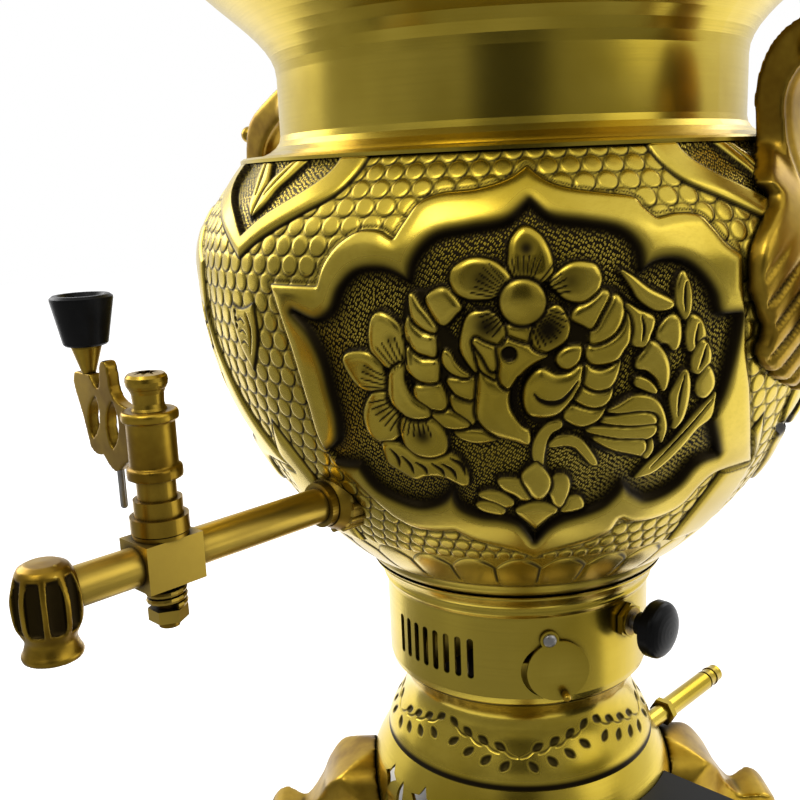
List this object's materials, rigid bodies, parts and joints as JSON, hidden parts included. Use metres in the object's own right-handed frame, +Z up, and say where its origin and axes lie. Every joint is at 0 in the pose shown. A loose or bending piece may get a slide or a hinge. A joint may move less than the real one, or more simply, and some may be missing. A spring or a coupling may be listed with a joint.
{
  "type": "samovar",
  "caption": "Gas-fired brass samovar: chased urn on a footed base with a burner, flared neck, lid, teapot crown, two scroll handles and a lever tap.",
  "frame": {"origin": "on the table, under the urn's axis, at the middle of the four feet", "axes": "+Z up along the urn's axis; the tap points to -Y; the gas knob and the igniter box are at +X"},
  "size_m": [0.3446, 0.3527, 0.4585],
  "materials": {
    "antique_brass": "antique brass, hand chased on the urn and lightly brushed elsewhere, with dark patina in the recesses",
    "bronzed_brass": "cast brass with a brown bronze patina, rubbed bright on its edges",
    "plain_brass": "plain machined brass",
    "black_knob": "gloss black heat-proof plastic",
    "black_housing": "moulded black plastic, fine grain",
    "steel": "zinc-plated or bare steel",
    "burner_iron": "cast iron and heat-darkened steel",
    "seal_rubber": "matt black rubber",
    "ceramic": "white glazed ceramic"
  },
  "bodies": {
    "root": {"leg_front_right": "bronzed_brass", "leg_front_left": "bronzed_brass", "leg_rear_left": "bronzed_brass", "leg_rear_right": "bronzed_brass", "leg_screws": "steel", "base_shell": "antique_brass", "pedestal": "antique_brass", "burner_band": "antique_brass", "cover_rivet": "steel", "gas_collar_nut": "antique_brass", "gas_valve_body": "plain_brass", "gas_jet": "plain_brass", "gas_riser": "plain_brass", "gas_feed_pipe": "plain_brass", "hose_nipple": "antique_brass", "venturi_tube": "burner_iron", "burner_head": "burner_iron", "burner_cap": "plain_brass", "burner_bracket": "burner_iron", "igniter_housing": "black_housing", "igniter_spring": "steel", "igniter_screws": "steel", "spark_electrode": "ceramic", "urn": "antique_brass", "tank_bottom": "plain_brass", "flue_tube": "plain_brass", "neck": "antique_brass", "rim_ring": "antique_brass", "right_handle": "bronzed_brass", "left_handle": "bronzed_brass", "handle_finials": "plain_brass", "handle_screws": "steel", "tap_escutcheon": "bronzed_brass", "tap_gasket": "seal_rubber", "tap_backnut": "plain_brass", "tap_inlet_pipe": "bronzed_brass", "tap_block": "bronzed_brass", "tap_outlet_pipe": "bronzed_brass", "tap_spout": "bronzed_brass"},
    "tap_key": {"tap_plug": "plain_brass", "tap_lever": "bronzed_brass", "tap_finial": "plain_brass", "lever_ferrule": "plain_brass", "lever_knob": "black_knob", "lever_pin": "steel", "tap_spring": "bronzed_brass", "tap_nut": "bronzed_brass"},
    "gas_control": {"gas_knob": "black_knob", "gas_spindle": "steel"},
    "cover": {"ignition_cover": "antique_brass", "cover_pull": "bronzed_brass"},
    "igniter_push": {"igniter_button": "black_housing"},
    "lid": {"lid": "antique_brass", "lid_knobs": "black_knob", "lid_knob_studs": "plain_brass", "steam_vent": "plain_brass"},
    "crown": {"crown_sleeve": "antique_brass", "crown_gallery": "antique_brass", "crown_rim": "antique_brass", "teapot_grid": "burner_iron"}
  },
  "joints": [
    {"name": "tap_turn", "type": "hinge", "parent": "root", "child": "tap_key", "pos_m": [0, -0.1735, 0.1875], "axis": [0, 0, 1], "range_deg": [0, 90]},
    {"name": "gas_knob_turn", "type": "hinge", "parent": "root", "child": "gas_control", "pos_m": [0.065, 0, 0.1215], "axis": [1, 0, 0], "range_deg": [0, 180]},
    {"name": "cover_swing", "type": "hinge", "parent": "root", "child": "cover", "pos_m": [0.04396, -0.03534, 0.122], "axis": [0.7793, -0.6266, 0], "range_deg": [-90, 60]},
    {"name": "igniter_press", "type": "slide", "parent": "root", "child": "igniter_push", "axis": [-1, 0, 0], "range_m": [0, 0.004], "stiffness_N_per_m": 400, "deforming": ["igniter_spring"]},
    {"name": "lid_lift", "type": "slide", "parent": "root", "child": "lid", "axis": [0, 0, 1], "range_m": [0, 0.08]},
    {"name": "crown_lift", "type": "slide", "parent": "lid", "child": "crown", "axis": [0, 0, 1], "range_m": [0, 0.06]}
  ]
}
